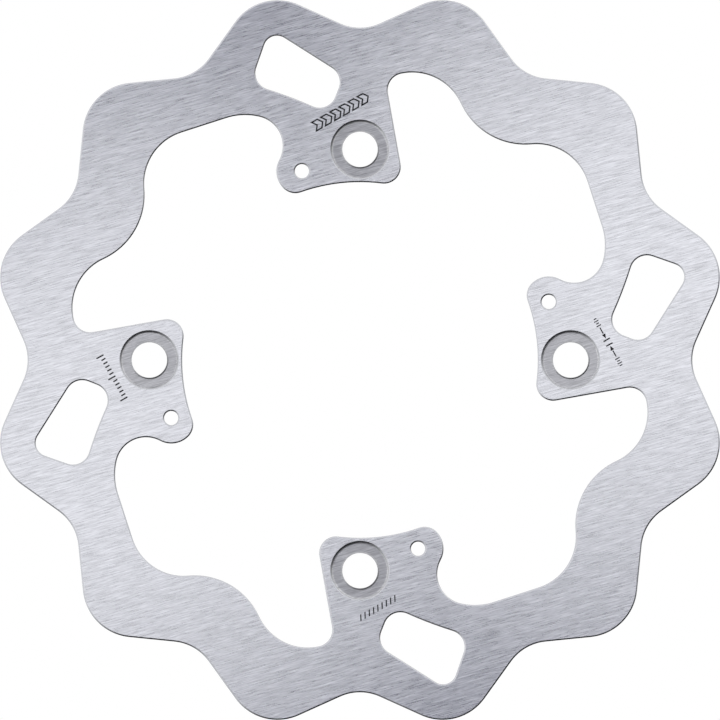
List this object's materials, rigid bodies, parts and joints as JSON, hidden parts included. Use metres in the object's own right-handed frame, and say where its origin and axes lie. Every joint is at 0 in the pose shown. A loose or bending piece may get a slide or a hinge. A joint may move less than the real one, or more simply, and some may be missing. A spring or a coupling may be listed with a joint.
{
  "type": "brake disc",
  "caption": "Fixed steel brake disc with a wavy rim, inward bolt lugs with recessed holes, ears with small holes, and rounded windows.",
  "frame": {"origin": "on the axle's line, in the plane of the mounting face that sits against the hub", "axes": "Y is the axle. +Y points into the hub and -Y is the outer face with the bolt recesses. One bolt lug points along +Z, and the other three along +X, -Z and -X."},
  "size_m": [0.2136, 0.005, 0.2136],
  "materials": {
    "brushed_plate": "stainless steel plate, ground in one direction on both faces, with laser-cut edges broken by a small bevel"
  },
  "bodies": {
    "root": {"brake_disc": "brushed_plate"}
  },
  "joints": []
}
